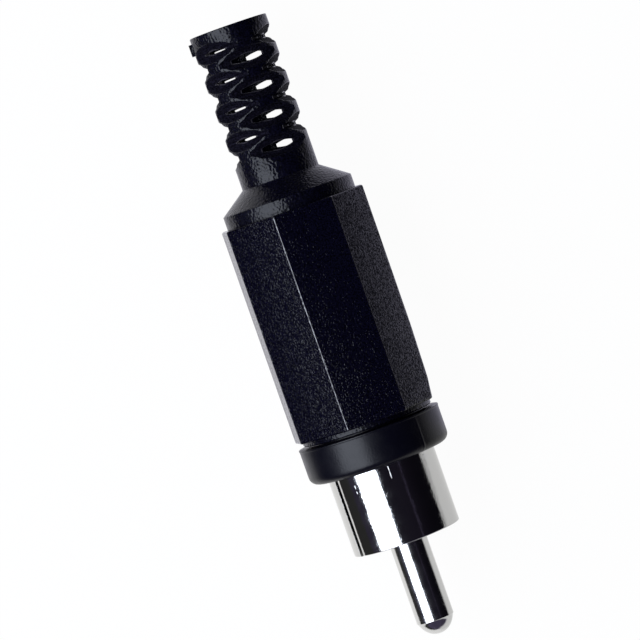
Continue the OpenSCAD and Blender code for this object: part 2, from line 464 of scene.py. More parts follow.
# Grain from the grip's rear to its front, from left to right on the top flat, and more on the left
GRAIN_ALONG = (0.8, 1.3)
GRAIN_ACROSS = (-0.5 * OCTANT, 0.5 * OCTANT, 1.25, 0.7)
GRAIN_LEFT = (-0.52 * OCTANT, -0.5 * OCTANT, 0.55, 0.0)
# Polish across the left flat and the right one, and what the flat beyond the left one has more
POLISH_LEFT = (-1.45 * OCTANT, -0.55 * OCTANT, 0.3, 0.85)
POLISH_RIGHT = (0.55 * OCTANT, 1.45 * OCTANT, 0.0, 0.55)
POLISH_BEYOND = (-1.51 * OCTANT, -1.49 * OCTANT, 0.8, 0.0)
# On the slots' walls: more roughness, less shine, and the brightness of the painted highlight along
# the bore's rim
SLOT_DULLNESS = 0.25
SLOT_SHINE_LOSS = 0.194
RIM_HIGHLIGHT_GLOW = 9.0
GRIP_GLOSS = 0.14
# The slots' walls lie this far from bore and skin; the painted highlight at the bore's rim has its
# place and half width
WALL_INSET = 0.06 * MM
WALL_FADE = 0.02 * MM
RIM_HIGHLIGHT_INSET = 0.05 * MM
RIM_HIGHLIGHT_HALF = 0.025 * MM
RIM_HIGHLIGHT_FADE = 0.01 * MM
RELIEF_START = (-27 * MM, -26.5 * MM, 1.0, 0.0)


def new_material(name):
    """A material and its empty node tree."""
    material = bpy.data.materials.new(name)
    return material, cleared_tree(material)


def surface(tree, **values):
    """Ends a material's tree with one shader; its sockets' names have _ for a space."""
    values = {name.replace("_", " "): value for name, value in values.items()}
    shader = add_node(tree, "ShaderNodeBsdfPrincipled", values)
    add_node(tree, "ShaderNodeOutputMaterial", {"Surface": shader.outputs["BSDF"]})


def grained_plastic(settings):
    """Black plastic: spark-eroded grain on the grip's flats, a soft mottle everywhere else."""
    material, tree = new_material("grained_black")
    point, axes = place_of(tree)
    turned = turn_of(tree, axes)
    grip_front, grip_rear, _, _ = handle_places(settings)
    on_grip = within(tree, axes["X"], grip_rear, grip_front, GRIP_FADE)
    in_octant = math_node(tree, "MODULO", added(tree, turned, 2 * math.pi), OCTANT)
    from_edge = math_node(
        tree, "ABSOLUTE", math_node(tree, "SUBTRACT", in_octant, OCTANT / 2)
    )
    off_edge = ramp_node(tree, from_edge, *LAND)
    in_slot, rim_highlight = slot_inside(tree, axes, settings)

    grain = scaled(
        tree, grip_grain(tree, point, axes, turned, settings), scaled(tree, on_grip, off_edge)
    )
    mottle = scaled(
        tree,
        noise(tree, point, settings.mottle_size, 0.0),
        scaled(tree, rest_of(tree, on_grip), settings.mottle_depth / MM),
    )
    finish = math_node(
        tree, "SUBTRACT", scaled(tree, in_slot, SLOT_DULLNESS), scaled(tree, on_grip, GRIP_GLOSS)
    )
    worn = scaled(
        tree,
        scaled(tree, on_grip, rest_of(tree, off_edge)),
        marks(tree, point, *WEAR_MARKS),
    )
    sheen = math_node(tree, "SUBTRACT", worn, scaled(tree, in_slot, SLOT_SHINE_LOSS))
    polish = scaled(tree, uneven_polish(tree, point, turned, on_grip), settings.shine)
    speckle = marks(tree, point, *SPECKLE_MARKS)
    # The slots' walls get a paler colour; a thin strip at the bore's rim gets a painted highlight
    # in the base colour
    wall_and_highlight = added(tree, scaled(tree, in_slot, speckle), scaled(tree, rim_highlight, RIM_HIGHLIGHT_GLOW))
    surface(
        tree,
        Normal=bump(tree, added(tree, grain, mottle), MM),
        Roughness=added(tree, marks(tree, point, *HANDLE_PATCHES), finish),
        Specular_IOR_Level=added(tree, sheen, polish),
        Base_Color=vector_node(
            tree,
            "ADD",
            vector_node(tree, "SCALE", settings.colour, speckle),
            vector_node(tree, "SCALE", settings.wall_and_highlight_colour, wall_and_highlight),
        ),
    )
    return material


def grip_grain(tree, point, axes, turned, settings):
    """Height of the grain in millimetres, which is not the same all over the grip."""
    grip_front, grip_rear, _, _ = handle_places(settings)
    size = settings.grain_size
    pits = marks(tree, vector_node(tree, "ADD", point, SECOND_PATTERN), size, 0.0, *PIT_RANGE)
    humps = marks(tree, point, size, 0.0, *HUMP_RANGE)
    grain = added(
        tree,
        scaled(tree, humps, settings.grain_depth / MM),
        scaled(tree, pits, -settings.pit_depth / MM),
    )
    aside = within(tree, math_node(tree, "ABSOLUTE", turned), *SIDE_FLATS, FLAT_FADE)
    grain = scaled(tree, grain, rest_of(tree, scaled(tree, aside, SIDE_SMOOTHNESS)))
    along = ramp_node(tree, axes["X"], grip_rear, grip_front, *GRAIN_ALONG)
    across = added(
        tree, ramp_node(tree, turned, *GRAIN_ACROSS), ramp_node(tree, turned, *GRAIN_LEFT)
    )
    return scaled(tree, grain, scaled(tree, along, across))


def uneven_polish(tree, point, turned, on_grip):
    """How much of the plastic's shine is left: the grip's flats are not worn alike."""
    sides = added(
        tree, ramp_node(tree, turned, *POLISH_RIGHT), ramp_node(tree, turned, *POLISH_BEYOND)
    )
    across = added(tree, ramp_node(tree, turned, *POLISH_LEFT), sides)
    level = scaled(tree, across, marks(tree, point, *POLISH_MARKS))
    change = math_node(tree, "SUBTRACT", level, 1.0)
    return added(tree, scaled(tree, on_grip, change), 1.0)


def slot_inside(tree, axes, settings):
    """Two masks: the walls of the slots, which the mould leaves dull, and a thin strip at the
    bore's rim that gets a painted highlight.
    """
    squares = [scaled(tree, axes[side], axes[side]) for side in "YZ"]
    reach = math_node(tree, "SQRT", added(tree, *squares))
    bore, neck = settings.cable_radius, settings.neck_radius
    walls = within(tree, reach, bore + WALL_INSET, neck - WALL_INSET, WALL_FADE)
    behind = ramp_node(tree, axes["X"], *RELIEF_START)
    # A thin strip at the bore's rim, where a highlight is painted into the colour
    rim = bore + RIM_HIGHLIGHT_INSET
    rim_highlight = within(tree, reach, rim - RIM_HIGHLIGHT_HALF, rim + RIM_HIGHLIGHT_HALF, RIM_HIGHLIGHT_FADE)
    return scaled(tree, walls, behind), scaled(tree, rim_highlight, behind)


# The collar's fine relief: size, detail and depth; and its patches, with the change of roughness
SATIN_RELIEF = (0.15 * MM, 0.5)
SATIN_DEPTH = 0.008 * MM
SATIN_PATCHES = (1.2 * MM, 3.0, 0.3, 0.7)
SATIN_CHANGE = 0.06


def satin_plastic(settings):
    """Smooth black plastic with a satin gloss."""
    material, tree = new_material("satin_black")
    point, _ = place_of(tree)
    gloss = settings.gloss
    surface(
        tree,
        Normal=bump(tree, noise(tree, point, *SATIN_RELIEF), SATIN_DEPTH),
        Roughness=marks(tree, point, *SATIN_PATCHES, gloss, gloss + SATIN_CHANGE),
        Specular_IOR_Level=settings.shine,
        Base_Color=(*settings.colour, 1.0),
    )
    return material


# Nickel: its patches and the finer unevenness, by size and detail, and streaks drawn out along X
NICKEL_PATCHES = (1.1 * MM, 2.0)
NICKEL_PEEL = (0.16 * MM, 2.0)
NICKEL_STREAKS = (0.12 * MM, 1.0)
DRAWN_OUT = (0.03, 1.0, 1.0)
# The calmest patches have this share of the unevenness, and the dullest this much more roughness
CALM_SHARE = 0.35
DULL_SHARE = 1.6
# Depth of the unevenness and of the streaks on each contact
SHELL_SKIN = (0.0078 * MM, 0.002 * MM)
PIN_SKIN = (0.003 * MM, 0.001 * MM)
CLAMP_SKIN = (0.006 * MM, 0.002 * MM)
PIN_DULLNESS = 1.6
# Turn, half width, both ends along the axis, and height of each scratch on the shell
SHELL_SCRATCHES = (
    (math.radians(-2.4), math.radians(0.55), 0.1 * MM, 1.2 * MM, 0.011 * MM),
    (math.radians(-43.4), math.radians(0.5), 0.85 * MM, 1.55 * MM, 0.009 * MM),
)
SCRATCH_FADE = 0.1 * MM


def scratch(tree, axes, turned, half_width, low, high):
    """A short ridge along the axis: its height is one at the middle of its width."""
    aside = math_node(tree, "SUBTRACT", turn_of(tree, axes), turned)
    across = ramp_node(tree, math_node(tree, "ABSOLUTE", aside), 0.0, half_width, 1.0, 0.0)
    return scaled(tree, across, within(tree, axes["X"], low, high, SCRATCH_FADE))


def nickel(name, colour, gloss, peel, streak, scratches=()):
    """Nickel plate: an uneven skin, faint streaks along the axis, and scratches."""
    material, tree = new_material(name)
    point, axes = place_of(tree)
    patches = noise(tree, point, *NICKEL_PATCHES)
    uneven = ramp_node(tree, patches, 0.35, 0.65, CALM_SHARE * peel / MM, peel / MM)
    height = scaled(tree, noise(tree, point, *NICKEL_PEEL), uneven)
    drawn = noise(tree, vector_node(tree, "MULTIPLY", point, DRAWN_OUT), *NICKEL_STREAKS)
    height = added(tree, height, scaled(tree, drawn, streak / MM))
    for turned, half_width, low, high, tall in scratches:
        mark = scratch(tree, axes, turned, half_width, low, high)
        broken = marks(tree, point, *SCRATCH_BREAKS)
        height = added(tree, height, scaled(tree, scaled(tree, mark, broken), tall / MM))
    surface(
        tree,
        Normal=bump(tree, height, MM),
        Roughness=ramp_node(tree, patches, 0.3, 0.7, gloss, gloss * DULL_SHARE),
        Base_Color=(*colour, 1.0),
        Metallic=1.0,
    )
    return material


# Handle

PARTING_TURN = math.radians(82)
PARTING_REACH = 6.12 * MM
# The edge on the parting line is trimmed more towards the front: place and reach
PARTING_TRIM = (
    (-22.25 * MM, 6.13 * MM),
    (-10.0 * MM, 6.09 * MM),
    (-5.6 * MM, 5.975 * MM),
    (-3.75 * MM, 5.77 * MM),
)
# Points around the handle: an even part, more about each edge, and the trimmed edges' borders
EVEN_POINTS = 192
EDGE_OFFSETS = (-0.48, -0.32, -0.16, 0.16, 0.32, 0.48)
TRIM_BORDERS = (64.2, 82.65, 244.2, 262.65)
# Rounding of the grip's two ends: distance from the end and how far the surface is drawn in
GRIP_ENDS = (
    (0.0, 0.16 * MM),
    (0.02 * MM, 0.08 * MM),
    (0.06 * MM, 0.03 * MM),
    (0.12 * MM, 0.005 * MM),
    (0.2 * MM, 0.0),
)
CONE_WALL = 0.9 * MM
BORE_REAR = -9.1 * MM
# The screw thread in the bore: pitch, depth, and plain lengths at its rear and front
BORE_PITCH, BORE_THREAD = 0.75 * MM, 0.2 * MM
BORE_PLAIN_REAR, BORE_PLAIN_FRONT = 0.3 * MM, 0.9 * MM
NECK_LENGTH = 2.6 * MM
SLOT_ROWS = 8
SLOT_PITCH = 1.27 * MM
SLOT_TURN = math.radians(8.5)
SLOT_STEP = math.radians(120)
# Distance from the axis and width of a slot at its floor, at the bore, at its bend and mouth
SLOT_DEEP = (
    (2.24 * MM, 0.26 * MM),
    (2.6 * MM, 0.6 * MM),
    (2.8175 * MM, 1.26 * MM),
    (3.325 * MM, 1.78 * MM),
)
SLOT_SHALLOW = (
    (2.35 * MM, 0.1 * MM),
    (2.6 * MM, 0.22 * MM),
    (2.8175 * MM, 0.92 * MM),
    (3.325 * MM, 1.7 * MM),
)
# Rounding of a slot's flanks at those four places
SLOT_ROUNDING = (0, 0.05 * MM, 0.5 * MM, 0)
# How much a slot widens on either side at the skin, and how far its floor runs out there
DEEP_SPREAD = (0.08 * MM, 0.03 * MM)
SHALLOW_SPREAD = (0.17 * MM, 0.17 * MM)
# Above the bore and above the floor, the height over which that widening and running out end
WIDEN_HEIGHT, DROP_HEIGHT = 0.35 * MM, 0.25 * MM
# The slots' rims: their place along the axis, where the inner ones end, and their rounding
RIMS_FROM_REAR, RIMS_FRONT = 0.4 * MM, -26 * MM
INNER_RIMS, INNER_ROUNDING = 0.03 * MM, 2.4
# What the moulding gate left: distance from the rear, length, half width, root, height and turn
GATE_INSET, GATE_LENGTH, GATE_HALF = 0.45 * MM, 1.0 * MM, 0.3 * MM
GATE_ROOT, GATE_PROUD, GATE_TURN = 2.9 * MM, 0.25 * MM, math.radians(-98)


def handle_places(settings):
    """Along the axis: the grip's front and rear, the band's rear and the neck's front."""
    grip_front = HANDLE_HIGH.x - settings.lip_length
    grip_rear = grip_front - settings.grip_length
    band_rear = grip_rear - settings.band_length
    return grip_front, grip_rear, band_rear, band_rear - settings.cone_length


def trim_at(x):
    """How far the trimmed edge reaches at a place along the axis."""
    for (x0, r0), (x1, r1) in zip(PARTING_TRIM, PARTING_TRIM[1:]):
        if x <= x1:
            return r0 + (r1 - r0) * max(0.0, (x - x0) / (x1 - x0))
    return PARTING_TRIM[-1][1]


def grip_reach(x, angle, settings):
    """Distance from the axis to the grip's surface."""
    flat, rounding = settings.flat_reach, settings.edge_round
    off = abs((angle + OCTANT / 2) % OCTANT - OCTANT / 2)
    tangent = math.atan((flat - rounding) * math.tan(OCTANT / 2) / flat)
    if off <= tangent:
        reach = flat / math.cos(off)
    else:
        corner = OCTANT / 2 - off
        middle = (flat - rounding) / math.cos(OCTANT / 2)
        inner = rounding**2 - (middle * math.sin(corner)) ** 2
        reach = middle * math.cos(corner) + math.sqrt(max(0.0, inner))
    for direction, distance in (
        (PARTING_TURN, trim_at(x)),
        (PARTING_TURN - math.pi, PARTING_REACH),
    ):
        facing = math.cos(angle - direction)
        if facing > 0.5:
            reach = min(reach, distance / facing)
    return reach


def grip_angles():
    """Angles around the handle, close together at the grip's edges."""
    angles = [360 * i / EVEN_POINTS for i in range(EVEN_POINTS)]
    angles += [22.5 + 45 * i + off for i in range(8) for off in EDGE_OFFSETS]
    angles += TRIM_BORDERS
    return sorted(math.radians(a) for a in angles)


def handle_rings(settings, angles):
    """Rings of the handle's skin, outside from front to rear and back along the inside."""
    lip_front, rear = HANDLE_HIGH.x, HANDLE_LOW.x
    grip_front, grip_rear, band_rear, neck_front = handle_places(settings)
    lip, neck = settings.lip_radius, settings.neck_radius
    bore, room, cable = settings.bore_radius, settings.room_radius, settings.cable_radius
    front_path = eased(
        [
            (lip_front - 0.3 * MM, bore, 0),
            (lip_front, bore, 0.06 * MM),
            (lip_front, lip, 0.12 * MM),
            (grip_front, lip, 0),
        ]
    )
    stations = [(grip_front - x, inset) for x, inset in GRIP_ENDS]
    last = GRIP_ENDS[-1][0]
    stations += [(x, 0.0) for x in spread(grip_front - last, grip_rear + last, 24)[1:-1]]
    stations += [(grip_rear + x, inset) for x, inset in reversed(GRIP_ENDS)]
    grip = [
        [axis_point(x, grip_reach(x, a, settings) - inset, a) for a in angles]
        for x, inset in stations
    ]
    rear_path = eased(
        [
            (grip_rear, lip, 0),
            (band_rear, lip, 0.08 * MM),
            (neck_front, neck, 0.12 * MM),
            (rear, neck, 0.08 * MM),
            (rear, cable, 0.06 * MM),
            (neck_front + CONE_WALL, cable, 0),
        ]
    )
    rear_path += [(band_rear + CONE_WALL, room), (BORE_REAR, room), (BORE_REAR, bore)]
    thread_rear, thread_front = BORE_REAR + BORE_PLAIN_REAR, lip_front - BORE_PLAIN_FRONT
    thread = []
    for x in spread(thread_rear, thread_front, 96):
        deep = BORE_THREAD * min(1.0, (x - thread_rear) / MM, (thread_front - x) / MM)
        waves = [0.5 + 0.5 * math.cos(2 * math.pi * x / BORE_PITCH - a) for a in angles]
        thread.append([axis_point(x, bore + deep * w, a) for a, w in zip(angles, waves)])
    return turned_rings(front_path, angles) + grip + turned_rings(rear_path, angles) + thread


def slot_section(profile, out):
    """The outline of a slot across its length, drawn on as far as out."""
    (bend_r, bend), (mouth_r, mouth) = profile[-2:]
    flare = (mouth - bend) / (mouth_r - bend_r)
    sides = [*profile[:-1], (out, mouth + (out - mouth_r) * flare)]
    right = eased([(width / 2, r, turned) for (r, width), turned in zip(sides, SLOT_ROUNDING)])
    return right + [(-half, r) for half, r in reversed(right)]


def slot_ring(settings, profile, spread_out, y):
    """A slot's outline at a place across it; towards the skin its narrow part opens up."""
    bore, neck = settings.cable_radius, settings.neck_radius
    floor, waist = profile[0][0], profile[1][0]
    widen, drop = spread_out
    ring = []
    for half, z in slot_section(profile, neck + 0.2 * MM):
        skin = min(1.0, max(0.0, (math.hypot(y, z) - bore) / (neck - bore)))
        if z < waist:
            weight = 0.5 + 0.5 * (z - floor) / (waist - floor)
        else:
            weight = max(0.0, 1 - (z - waist) / WIDEN_HEIGHT)
        lowered = drop * max(0.0, 1 - (z - floor) / DROP_HEIGHT)
        ring.append((half + math.copysign(widen * weight * skin, half), z - lowered * skin))
    return ring


def slot_cutters(settings, odd):
    """The wedges that cut the slots of every other row, as one object."""
    bm = bmesh.new()
    first = handle_places(settings)[-1] - NECK_LENGTH
    profile = SLOT_SHALLOW if odd else SLOT_DEEP
    spread_out = SHALLOW_SPREAD if odd else DEEP_SPREAD
    lowest = profile[0][0] - spread_out[1]
    across = math.sqrt(settings.neck_radius**2 - lowest**2) + 0.04 * MM
    places = spread(-across, across, 19)
    outlines = [(y, slot_ring(settings, profile, spread_out, y)) for y in places]
    for row in range(1 if odd else 0, SLOT_ROWS, 2):
        x = first - row * SLOT_PITCH
        for side in range(3):
            angle = SLOT_TURN + SLOT_STEP * (side + (0.5 if odd else 0))
            turned = Matrix.Rotation(-angle, 4, "X")
            rings = [
                [turned @ Vector((x + dx, y, z)) for dx, z in outline]
                for y, outline in outlines
            ]
            capped_rings(bm, rings)
    return new_piece("slot_cutters", bm)


def soften_rims(piece, low, high, nearest, furthest, rounding):
    """Rounds a piece's sharp edges between two places along the axis and two distances from it."""
    bm = bmesh.new()
    bm.from_mesh(piece.data)
    bmesh.ops.remove_doubles(bm, verts=bm.verts, dist=0.002 * MM)
    rims = [
        edge
        for edge in sharp_edges(bm, 30)
        if all(low < vert.co.x < high for vert in edge.verts)
        and all(nearest < math.hypot(vert.co.y, vert.co.z) < furthest for vert in edge.verts)
    ]
    round_edges(bm, rims, rounding)
    bm.to_mesh(piece.data)
    bm.free()


class PLUG_OT_handle(bpy.types.Operator):
    """Make the moulded handle with its strain relief"""

    bl_idname = "plug.handle"
    bl_label = "Handle"

    def execute(self, context):
        settings = context.scene.plug_handle
        bm = bmesh.new()
        joined_rings(bm, handle_rings(settings, grip_angles()))
        piece = new_piece("moulded_handle", bm)
        for odd in (False, True):
            combine(piece, slot_cutters(settings, odd), "DIFFERENCE")
        behind, rounding = HANDLE_LOW.x + RIMS_FROM_REAR, settings.rim_round
        inside, neck = settings.cable_radius + INNER_RIMS, settings.neck_radius
        soften_rims(piece, behind, RIMS_FRONT, inside, 2 * neck, rounding)
        soften_rims(piece, behind, RIMS_FRONT, 0.0, inside, INNER_ROUNDING * rounding)
        rear = HANDLE_LOW.x + GATE_INSET
        gate = block_piece(
            "gate",
            (rear, -GATE_HALF, GATE_ROOT),
            (rear + GATE_LENGTH, GATE_HALF, neck + GATE_PROUD),
            GATE_TURN,
        )
        combine(piece, gate, "UNION")
        shade(piece)
        finish_piece(
            piece, grained_plastic(settings), "handle", "handle"
        )
        return {"FINISHED"}


# Collar body

# The boss's front face, which the pin's shoulder rests on
BOSS_FRONT = -0.5 * MM
# Half of the mould seam's width, and the radius from which the seam is seen
HALF_SEAM = math.radians(0.5)
SEAM_FROM = 5.3 * MM
# The slot for the clamp's tail: half width, and its lower and upper face
TAIL_HALF, TAIL_LOW, TAIL_HIGH = 1.22 * MM, -3.32 * MM, -2.88 * MM


class PLUG_OT_collar(bpy.types.Operator):
    """Make the collar body with its boss, web and solder room"""

    bl_idname = "plug.collar"
    bl_label = "Collar body"

    def execute(self, context):
        settings = context.scene.plug_collar
        radius, rim = settings.radius, settings.rim_radius
        rear = -settings.span
        seat = rear + 0.55 * MM
        web_rear = seat - 2.8 * MM
        shoulder, core, room = 4.94 * MM, settings.core_radius, 3.94 * MM
        shoulder_rear = rear - 0.9 * MM
        seat_radius, boss, hole = 4.62 * MM, 2.7 * MM, 1.32 * MM
        end = COLLAR_LOW.x
        small = 0.05 * MM
        path = eased(
            [
                (seat + MM, seat_radius, 0),
                (0.0, seat_radius, 0.08 * MM),
                (0.0, radius, settings.front_round),
                (rear + 0.16 * MM, radius, 0.02 * MM),
                (rear + 0.1 * MM, rim, 0.02 * MM),
                (rear, rim, 0.03 * MM),
                (rear, shoulder, 0.1 * MM),
                (shoulder_rear, shoulder, small),
                (shoulder_rear, core, small),
                (end, core, 0.25 * MM),
                (end, room, 0.1 * MM),
                (web_rear, room, 0.15 * MM),
                (web_rear, hole, small),
                (BOSS_FRONT, hole, small),
                (BOSS_FRONT, boss, 0.12 * MM),
                (seat, boss, 0.08 * MM),
                (seat, seat_radius, small),
                (seat + MM, seat_radius, 0),
            ],
            6,
        )[:-1]
        seam = settings.seam_turn
        angles = even_angles(192) + [seam + a for a in spread(-HALF_SEAM, HALF_SEAM, 5)]
        angles = sorted(set(angles))
        ridges = [max(0.0, 1 - ((a - seam) / HALF_SEAM) ** 2) for a in angles]
        rings = []
        for x, r in path:
            on_side = SEAM_FROM < r <= radius and x > rear + 0.2 * MM
            height = settings.seam_height if on_side else 0.0
            rings.append([axis_point(x, r + height * k, a) for a, k in zip(angles, ridges)])
        bm = bmesh.new()
        joined_rings(bm, rings)
        piece = new_piece("collar", bm)
        slot = block_piece(
            "tail_slot",
            (web_rear - 0.5 * MM, -TAIL_HALF, TAIL_LOW),
            (seat + 0.3 * MM, TAIL_HALF, TAIL_HIGH),
        )
        combine(piece, slot, "DIFFERENCE")
        shade(piece)
        finish_piece(
            piece, satin_plastic(settings), "collar_body", "contacts"
        )
        return {"FINISHED"}


# The thread on the spigot: its start, its distance from the spigot's end, and how deep it is rooted
THREAD_START = -4.15 * MM
THREAD_FROM_END = 0.3 * MM
THREAD_ROOT = 0.06 * MM
# Half widths of its foot, flank and crest, and how much lower the flank ends than the crest
THREAD_FOOT, THREAD_FLANK, THREAD_CREST = 0.27 * MM, 0.09 * MM, 0.05 * MM
THREAD_EASE = 0.02 * MM
# Steps in a turn, steps in which an end rises, and the height that an end starts with
THREAD_STEPS, THREAD_RISE, THREAD_LEAST = 72, 18, 0.02


class PLUG_OT_thread(bpy.types.Operator):
    """Make the screw thread around the collar body's spigot"""

    bl_idname = "plug.thread"
    bl_label = "Thread"

    def execute(self, context):
        settings = context.scene.plug_collar
        start, end = THREAD_START, COLLAR_LOW.x + THREAD_FROM_END
        turns = (start - end) / settings.thread_pitch
        steps = int(turns * THREAD_STEPS)
        root = settings.core_radius - THREAD_ROOT
        rings = []
        for i in range(steps + 1):
            along = i / steps
            angle = 2 * math.pi * turns * along
            x = start + (end - start) * along
            rise = min(1.0, i / THREAD_RISE, (steps - i) / THREAD_RISE)
            top = root + (settings.crest_radius - root) * max(THREAD_LEAST, rise)
            section = (
                (THREAD_FOOT, root),
                (THREAD_FLANK, top - THREAD_EASE),
                (THREAD_CREST, top),
                (-THREAD_CREST, top),
                (-THREAD_FLANK, top - THREAD_EASE),
                (-THREAD_FOOT, root),
            )
            rings.append([axis_point(x + dx, r, angle) for dx, r in section])
        bm = bmesh.new()
        capped_rings(bm, rings)
        piece = new_piece("spigot_thread", bm)
        shade(piece)
        material = bpy.data.materials["satin_black"]
        finish_piece(piece, material, None, "contacts")
        return {"FINISHED"}


# Contacts


def sunk(distance, rounding):
    """How far a rounded face lies below its flat at this distance from its edge."""
    if distance >= rounding:
        return 0.0
    return rounding - math.sqrt(max(0.0, rounding**2 - (rounding - distance) ** 2))


class PLUG_OT_shell(bpy.types.Operator):
    """Make the shell, rolled from sheet with an open seam"""

    bl_idname = "plug.shell"
    bl_label = "Ground shell"

    def execute(self, context):
        settings = context.scene.plug_contacts
        outer = SHELL_HIGH.z
        inner = outer - settings.shell_wall
        lip, curl = settings.mouth_round, settings.curl_width
        rear, mouth = SHELL_LOW.x, SHELL_HIGH.x - settings.mouth_slant
        curve = [math.radians(a) for a in (0, 15, 30, 45, 60, 75, 90)]
        stations = [rear, rear + 0.02 * MM]
        stations += spread(rear + 0.2 * MM, mouth - lip, 24)[:-1]
        stations += [mouth - lip * (1 - math.sin(a)) for a in curve]
        half_slit = settings.slit_width / 2 / outer
        angles = [half_slit + s / outer for s in spread(0.0, curl, 9)]
        angles += spread(angles[-1], 2 * math.pi - half_slit, 220)[1:]
        rings = []
        for a in angles:
            curled = max(0.0, 1 - (a - half_slit) * outer / curl)
            inward = settings.curl_depth * curled**2
            turned = a + settings.slit_turn
            lean = -settings.mouth_slant * math.sin(turned)
            out_row, in_row = [], []
            for x in stations:
                drop = sunk(mouth - x, lip)
                place = x + lean * (x - rear) / (mouth - rear)
                out_row.append(axis_point(place, outer - inward - drop, turned))
                in_row.append(axis_point(place, inner - inward + drop, turned))
            rings.append(out_row + in_row[::-1])
        bm = bmesh.new()
        made = joined_rings(bm, rings, closed=False)
        count = len(stations)
        for ring in (made[0], made[-1]):
            for i in range(count - 1):
                j = 2 * count - 1 - i
                bm.faces.new((ring[i], ring[i + 1], ring[j - 1], ring[j]))
        piece = new_piece("shell", bm)
        shade(piece, 50.0)
        colour = settings.shell_colour
        material = nickel("shell_bright", colour, settings.gloss, *SHELL_SKIN, SHELL_SCRATCHES)
        finish_piece(piece, material, "ground_shell", "contacts")
        return {"FINISHED"}


# The pin's shank and the hole in its solder cup, by radius, and the cup's depth and open length
SHANK, CUP_HOLE = 1.3 * MM, 0.8 * MM
CUP_DEPTH, CUP_WALL_DEPTH, CUP_FLOOR = 3.6 * MM, 3.3 * MM, 3.65 * MM
CUP_OPEN = 2.6 * MM
# The chamfer where the nose begins: its length and depth
CHAMFER = (0.045 * MM, 0.05 * MM)
# How much leaner than a ball the nose is, at the chamfer and in its middle
LEAN_START, LEAN_MIDDLE = 0.05 * MM, 0.2 * MM
# Half the angle of the dome that the tip closes
TIP_ANGLE = math.radians(3)


class PLUG_OT_pin(bpy.types.Operator):
    """Make the turned centre pin with its solder cup"""

    bl_idname = "plug.pin"
    bl_label = "Centre pin"

    def execute(self, context):
        settings = context.scene.plug_contacts
        radius, nose_length = PIN_HIGH.z, settings.nose_length
        front, rear = PIN_HIGH.x, PIN_LOW.x
        nose = front - nose_length
        dome = (nose_length**2 + radius**2) / (2 * nose_length)
        crease = math.asin(radius / dome)
        path = eased(
            [
                (rear + CUP_DEPTH, CUP_HOLE * 0.3, 0),
                (rear + CUP_WALL_DEPTH, CUP_HOLE, 0.05 * MM),
                (rear, CUP_HOLE, 0.06 * MM),
                (rear, SHANK, 0.1 * MM),
                (BOSS_FRONT, SHANK, 0),
                (BOSS_FRONT, radius, 0.05 * MM),
                (nose, radius, 0),
                (nose + CHAMFER[0], radius - CHAMFER[1], 0),
            ],
            6,
        )
        for a in spread(crease, TIP_ANGLE, 18)[2:]:
            back = dome * (1 - math.cos(a))
            to_crease = back / nose_length
            lean = to_crease * (LEAN_START + LEAN_MIDDLE * (1 - to_crease))
            path.append((front - back, dome * math.sin(a) - lean))
        bm = bmesh.new()
        made = joined_rings(bm, turned_rings(path, even_angles(128)), closed=False)
        closed_fan(bm, made[0], (rear + CUP_FLOOR, 0, 0))
        closed_fan(bm, made[-1], (front, 0, 0))
        piece = new_piece("pin", bm)
        opening = block_piece(
            "cup_opening",
            (rear - MM, -2 * MM, 0),
            (rear + CUP_OPEN, 2 * MM, 2 * MM),
        )
        combine(piece, opening, "DIFFERENCE")
        shade(piece, 30.0)
        gloss = PIN_DULLNESS * settings.gloss
        material = nickel("pin_bright", settings.pin_colour, gloss, *PIN_SKIN)
        finish_piece(piece, material, "centre_pin", "contacts")
        return {"FINISHED"}


class PLUG_OT_clamp(bpy.types.Operator):
    """Make the stamped ground clamp with its solder tail and crimp ears"""

    bl_idname = "plug.clamp"
    bl_label = "Ground clamp"

    def execute(self, context):
        settings = context.scene.plug_contacts
        bm = bmesh.new()
        bm.from_mesh(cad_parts["ground_clamp"].data)
        bmesh.ops.remove_doubles(bm, verts=bm.verts, dist=0.0005 * MM)
        bmesh.ops.dissolve_limit(
            bm, angle_limit=math.radians(1), verts=bm.verts, edges=bm.edges
        )
        round_edges(bm, sharp_edges(bm, 40), 0.05 * MM)
        piece = new_piece("clamp", bm)
        shade(piece)
        colour, gloss = settings.clamp_colour, settings.clamp_gloss
        material = nickel("clamp_plate", colour, gloss, *CLAMP_SKIN)
        finish_piece(piece, material, "ground_clamp", "contacts")
        return {"FINISHED"}


# Stage

FLOOR_GREY = (0.8, 0.8, 0.8, 1.0)
# How much of a shadow the camera sees on the white floor
SHADOW = 0.03
# The floor as the plug mirrors it: where it begins at the left and at the rear, in Y and X
LIT_LEFT = (-16 * MM, -14 * MM)
LIT_REAR = (-50 * MM, -44 * MM)
# It is dimmer towards the right, and far on the right a darker part begins
LIT_DIMMER = (-3 * MM, 9 * MM, 1.0, 0.7)
LIT_FAR = (64 * MM, 88 * MM)
FAR_LOSS = 0.75
# Brightness of its dark and of its lit part
LIT_RANGE = (0.03, 1.0)
# Only the black plastic mirrors the part behind this place; its border leans forward to the sides
PLASTIC_END = (-1.6 * MM, 0.0, 1.0, 0.0)
PLASTIC_LEAN = 0.077
# That part is tinted, and more so towards the right
BLUISH = (-20 * MM, 30 * MM, 0.08, 1.0)
BLUISH_TINT = (0.94, 0.92, 1.2)
# The dark room as the plug mirrors it: turn about the axis in degrees, and brightness there
ROOM = ((-125, 0.035), (-70, 0.03), (-45, 0.016), (20, 0.012), (45, 0.006), (100, 0.006))
ROOM_TINT = (0.92, 0.8, 1.35)
# It is a little brighter ahead of the pin
ROOM_AHEAD = (0.3, 0.7, 0.0, 0.05)
# A dim strip of light in that room: its turn and half its width, in degrees, and its brightness
ROOM_STRIP = (26.0, 1.6, 0.03)
# The white strip low on the right: how high it goes, where it begins, and its brightness
LOW_STRIP_TOP = (0.1, 0.18, 1.0, 0.0)
LOW_STRIP_SIDE = (0.0, 0.2)
LOW_STRIP_GLOW = 0.7
